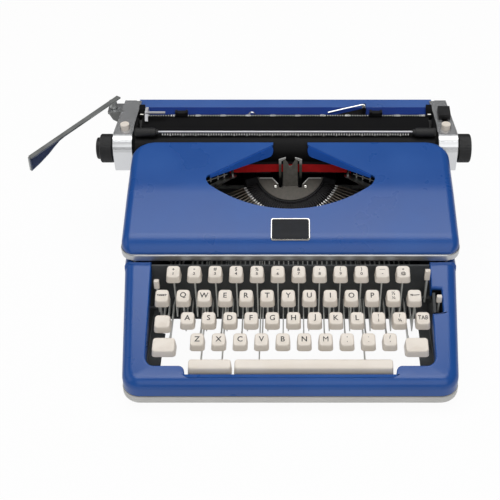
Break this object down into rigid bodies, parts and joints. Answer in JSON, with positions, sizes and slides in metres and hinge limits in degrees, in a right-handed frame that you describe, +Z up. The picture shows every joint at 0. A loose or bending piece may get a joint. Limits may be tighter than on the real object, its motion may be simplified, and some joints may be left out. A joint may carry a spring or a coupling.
{
  "type": "manual typewriter",
  "caption": "Portable manual typewriter with a painted shell, hinged ribbon cover, four-row keyboard, type basket and a sliding carriage with platen.",
  "frame": {"origin": "on the table plane under the body's middle plane, 165 mm behind the front face", "axes": "+X to the typist's right along the carriage, +Y to the back, +Z up"},
  "size_m": [0.4291, 0.305, 0.134],
  "materials": {
    "blue_paint": "gloss enamel",
    "grey_trim": "satin",
    "black_steel": "satin black",
    "steel": "brushed",
    "chrome": "polished",
    "rubber": "matt",
    "black_plastic": "moulded gloss",
    "cream_plastic": "moulded satin",
    "ribbon_cloth": "inked weave"
  },
  "bodies": {
    "chassis": {"chassis_frame": "black_steel", "lower_shell": "blue_paint", "base_trim": "grey_trim", "rubber_feet": "rubber", "key_comb": "black_steel", "lever_shaft": "steel", "carriage_rails": "steel", "spool_cups": "steel", "ribbon": "ribbon_cloth"},
    "escapement": {"escapement_wheel": "steel"},
    "drum": {"mainspring_drum": "steel"},
    "cover": {"top_cover": "blue_paint", "cover_trim": "chrome", "nameplate": "black_steel"},
    "basket": {"segment": "black_steel", "type_guide": "steel", "typebars": "steel"},
    "typebar": {"centre_typebar": "steel"},
    "vibrator": {"ribbon_vibrator": "chrome"},
    "left_spool": {"left_spool": "black_plastic"},
    "right_spool": {"right_spool": "black_plastic"},
    "carriage": {"carriage_frame": "black_steel", "left_end_plate": "chrome", "right_end_plate": "chrome", "paper_table": "blue_paint", "paper_pan": "black_steel", "margin_rail": "black_steel"},
    "feed": {"feed_roller": "rubber"},
    "platen": {"platen": "rubber", "platen_shaft": "steel", "platen_knobs": "black_plastic"},
    "bail": {"paper_bail": "chrome", "bail_rollers": "rubber"},
    "return_lever": {"return_lever": "chrome"},
    "paper_release": {"paper_release": "black_plastic"},
    "left_release": {"left_carriage_release": "cream_plastic"},
    "right_release": {"right_carriage_release": "cream_plastic"},
    "left_margin": {"left_margin_stop": "black_plastic"},
    "right_margin": {"right_margin_stop": "black_plastic"},
    "support": {"paper_support": "chrome"},
    "guide": {"paper_guide": "chrome"},
    "number_row": {"number_row_keys": "cream_plastic", "number_row_levers": "steel"},
    "upper_row": {"upper_row_keys": "cream_plastic", "upper_row_levers": "steel"},
    "home_row": {"home_row_keys": "cream_plastic", "home_row_levers": "steel"},
    "lower_row": {"lower_row_keys": "cream_plastic", "lower_row_levers": "steel"},
    "centre_key": {"centre_key": "cream_plastic"},
    "space_bar": {"space_bar": "cream_plastic"},
    "repeat_space_bar": {"repeat_space_bar": "cream_plastic"},
    "shift_keys": {"shift_keys": "cream_plastic"},
    "shift_lock": {"shift_lock": "cream_plastic"},
    "margin_release_key": {"margin_release_key": "cream_plastic"},
    "backspace_key": {"backspace_key": "cream_plastic"},
    "tab_key": {"tab_key": "cream_plastic"},
    "touch_lever": {"touch_lever": "cream_plastic"},
    "tab_set_lever": {"tab_set_lever": "cream_plastic"},
    "colour_selector": {"colour_selector": "cream_plastic"}
  },
  "joints": [
    {"name": "carriage_slide", "type": "slide", "parent": "chassis", "child": "carriage", "axis": [1, 0, 0], "range_m": [-0.112, 0.118]},
    {"name": "escapement_turn", "type": "hinge", "parent": "chassis", "child": "escapement", "pos_m": [0, 0.1175, 0.068], "axis": [0, 1, 0], "continuous": true},
    {"name": "drum_turn", "type": "hinge", "parent": "chassis", "child": "drum", "pos_m": [-0.1, 0.1175, 0.052], "axis": [0, 1, 0], "continuous": true},
    {"name": "cover_open", "type": "hinge", "parent": "chassis", "child": "cover", "pos_m": [0, -0.048, 0.084], "axis": [1, 0, 0], "range_deg": [0, 65]},
    {"name": "basket_drop", "type": "slide", "parent": "chassis", "child": "basket", "axis": [0, -0.3208, -0.9472], "range_m": [0, 0.00601]},
    {"name": "typebar_strike", "type": "hinge", "parent": "basket", "child": "typebar", "pos_m": [0, 0.04398, 0.05783], "axis": [-1, 0, 0], "range_deg": [0, 120.76]},
    {"name": "vibrator_rise", "type": "slide", "parent": "chassis", "child": "vibrator", "axis": [0, 0, 1], "range_m": [0, 0.00901], "deforming": ["ribbon"]},
    {"name": "left_spool_turn", "type": "hinge", "parent": "chassis", "child": "left_spool", "pos_m": [-0.108, 0.018, 0.094], "axis": [0, 0, 1], "continuous": true},
    {"name": "right_spool_turn", "type": "hinge", "parent": "chassis", "child": "right_spool", "pos_m": [0.108, 0.018, 0.094], "axis": [0, 0, 1], "continuous": true},
    {"name": "platen_turn", "type": "hinge", "parent": "carriage", "child": "platen", "pos_m": [-0.005, 0.084, 0.1043], "axis": [1, 0, 0], "continuous": true},
    {"name": "feed_turn", "type": "hinge", "parent": "carriage", "child": "feed", "pos_m": [-0.005, 0.07355, 0.0862], "axis": [1, 0, 0], "continuous": true},
    {"name": "bail_lift", "type": "hinge", "parent": "carriage", "child": "bail", "pos_m": [-0.005, 0.104, 0.112], "axis": [-1, 0, 0], "range_deg": [0, 45]},
    {"name": "return_lever_swing", "type": "hinge", "parent": "carriage", "child": "return_lever", "pos_m": [-0.1809, 0.1254, 0.13], "axis": [0, 0, 1], "range_deg": [0, 30], "stiffness_Nm_per_rad": 0.15, "springref_deg": -22.92},
    {"name": "paper_release_pull", "type": "slide", "parent": "carriage", "child": "paper_release", "axis": [0, -0.9857, -0.1685], "range_m": [0, 0.006]},
    {"name": "left_release_press", "type": "slide", "parent": "carriage", "child": "left_release", "axis": [0, 0, -1], "range_m": [0, 0.003], "stiffness_N_per_m": 150, "springref_m": -0.004},
    {"name": "right_release_press", "type": "slide", "parent": "carriage", "child": "right_release", "axis": [0, 0, -1], "range_m": [0, 0.003], "stiffness_N_per_m": 150, "springref_m": -0.004},
    {"name": "left_margin_slide", "type": "slide", "parent": "carriage", "child": "left_margin", "axis": [1, 0, 0], "range_m": [-0.01, 0.09]},
    {"name": "right_margin_slide", "type": "slide", "parent": "carriage", "child": "right_margin", "axis": [1, 0, 0], "range_m": [-0.09, 0.04]},
    {"name": "paper_guide_slide", "type": "slide", "parent": "carriage", "child": "guide", "axis": [1, 0, 0], "range_m": [0, 0.05]},
    {"name": "paper_support_raise", "type": "hinge", "parent": "carriage", "child": "support", "pos_m": [0.075, 0.124, 0.1262], "axis": [0, 1, 0], "range_deg": [0, 90]},
    {"name": "number_row_press", "type": "hinge", "parent": "chassis", "child": "number_row", "pos_m": [0, 0.112, 0.025], "axis": [1, 0, 0], "range_deg": [0, 3.79], "stiffness_Nm_per_rad": 0.6, "springref_deg": -34.38},
    {"name": "upper_row_press", "type": "hinge", "parent": "chassis", "child": "upper_row", "pos_m": [0, 0.112, 0.025], "axis": [1, 0, 0], "range_deg": [0, 3.43], "stiffness_Nm_per_rad": 0.6, "springref_deg": -34.38},
    {"name": "home_row_press", "type": "hinge", "parent": "chassis", "child": "home_row", "pos_m": [0, 0.112, 0.025], "axis": [1, 0, 0], "range_deg": [0, 3.13], "stiffness_Nm_per_rad": 0.55, "springref_deg": -34.38},
    {"name": "lower_row_press", "type": "hinge", "parent": "chassis", "child": "lower_row", "pos_m": [0, 0.112, 0.025], "axis": [1, 0, 0], "range_deg": [0, 2.88], "stiffness_Nm_per_rad": 0.55, "springref_deg": -34.38},
    {"name": "centre_key_press", "type": "hinge", "parent": "chassis", "child": "centre_key", "pos_m": [0, 0.112, 0.025], "axis": [1, 0, 0], "range_deg": [0, 3.13], "stiffness_Nm_per_rad": 0.12, "springref_deg": -34.38},
    {"name": "space_press", "type": "hinge", "parent": "chassis", "child": "space_bar", "pos_m": [0, 0.112, 0.025], "axis": [1, 0, 0], "range_deg": [0, 1.77], "stiffness_Nm_per_rad": 0.25, "springref_deg": -34.38},
    {"name": "repeat_space_press", "type": "hinge", "parent": "chassis", "child": "repeat_space_bar", "pos_m": [0, 0.112, 0.025], "axis": [1, 0, 0], "range_deg": [0, 1.77], "stiffness_Nm_per_rad": 0.15, "springref_deg": -34.38},
    {"name": "shift_press", "type": "hinge", "parent": "chassis", "child": "shift_keys", "pos_m": [0, 0.112, 0.025], "axis": [1, 0, 0], "range_deg": [0, 2.88], "stiffness_Nm_per_rad": 0.9, "springref_deg": -34.38},
    {"name": "shift_lock_press", "type": "hinge", "parent": "chassis", "child": "shift_lock", "pos_m": [0, 0.112, 0.025], "axis": [1, 0, 0], "range_deg": [0, 2.09], "stiffness_Nm_per_rad": 0.08, "springref_deg": -34.38},
    {"name": "margin_release_press", "type": "hinge", "parent": "chassis", "child": "margin_release_key", "pos_m": [0, 0.112, 0.025], "axis": [1, 0, 0], "range_deg": [0, 2.86], "stiffness_Nm_per_rad": 0.08, "springref_deg": -34.38},
    {"name": "backspace_press", "type": "hinge", "parent": "chassis", "child": "backspace_key", "pos_m": [0, 0.112, 0.025], "axis": [1, 0, 0], "range_deg": [0, 3.43], "stiffness_Nm_per_rad": 0.08, "springref_deg": -34.38},
    {"name": "tab_press", "type": "hinge", "parent": "chassis", "child": "tab_key", "pos_m": [0, 0.112, 0.025], "axis": [1, 0, 0], "range_deg": [0, 3.13], "stiffness_Nm_per_rad": 0.08, "springref_deg": -34.38},
    {"name": "touch_lever_tilt", "type": "hinge", "parent": "chassis", "child": "touch_lever", "pos_m": [-0.1216, -0.078, 0.04], "axis": [-1, 0, 0], "range_deg": [0, 10]},
    {"name": "tab_set_tilt", "type": "hinge", "parent": "chassis", "child": "tab_set_lever", "pos_m": [0.125, -0.07, 0.045], "axis": [1, 0, 0], "range_deg": [-8, 8]},
    {"name": "colour_selector_tilt", "type": "hinge", "parent": "chassis", "child": "colour_selector", "pos_m": [0.1347, -0.088, 0.025], "axis": [1, 0, 0], "range_deg": [-10, 10]}
  ],
  "couplings": [
    {"joint": "escapement_turn", "follows": "carriage_slide", "rad_per_m": 71.429},
    {"joint": "drum_turn", "follows": "carriage_slide", "rad_per_m": 55.556},
    {"joint": "basket_drop", "follows": "shift_press", "m_per_rad": 0.1192},
    {"joint": "typebar_strike", "follows": "centre_key_press", "ratio": 38.517},
    {"joint": "vibrator_rise", "follows": "centre_key_press", "m_per_rad": 0.16454},
    {"joint": "right_spool_turn", "follows": "left_spool_turn", "ratio": 1},
    {"joint": "feed_turn", "follows": "platen_turn", "ratio": -3.5556}
  ]
}
